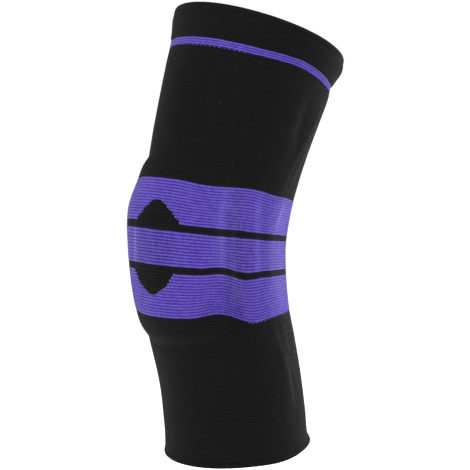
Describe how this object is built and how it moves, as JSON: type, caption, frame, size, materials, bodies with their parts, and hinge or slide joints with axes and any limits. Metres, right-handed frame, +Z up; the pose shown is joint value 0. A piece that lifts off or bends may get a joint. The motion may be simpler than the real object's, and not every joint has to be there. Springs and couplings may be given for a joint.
{
  "type": "knee sleeve",
  "caption": "Knitted compression sleeve for the knee, worn shape with a bend, black with purple bands round the kneecap and open at thigh and shin.",
  "frame": {"origin": "middle of the knee inside the sleeve, level with the middle of the kneecap band, where the knee holds it up", "axes": "+Z up along the leg to the thigh opening, -Y to the front where the kneecap is, +X across to the side that the picture shows"},
  "size_m": [0.1114, 0.1565, 0.3043],
  "materials": {
    "black_knit": "matte ribbed knit with a soft fuzz",
    "purple_knit": "matte ribbed knit with a soft fuzz"
  },
  "bodies": {
    "root": {"thigh_welt": "black_knit", "thigh_stripe": "purple_knit", "thigh_tube": "black_knit", "upper_band": "purple_knit", "upper_stripe": "black_knit", "middle_band": "purple_knit", "lower_stripe": "black_knit", "lower_band": "purple_knit", "shin_tube": "black_knit", "shin_hem": "black_knit"}
  },
  "joints": []
}
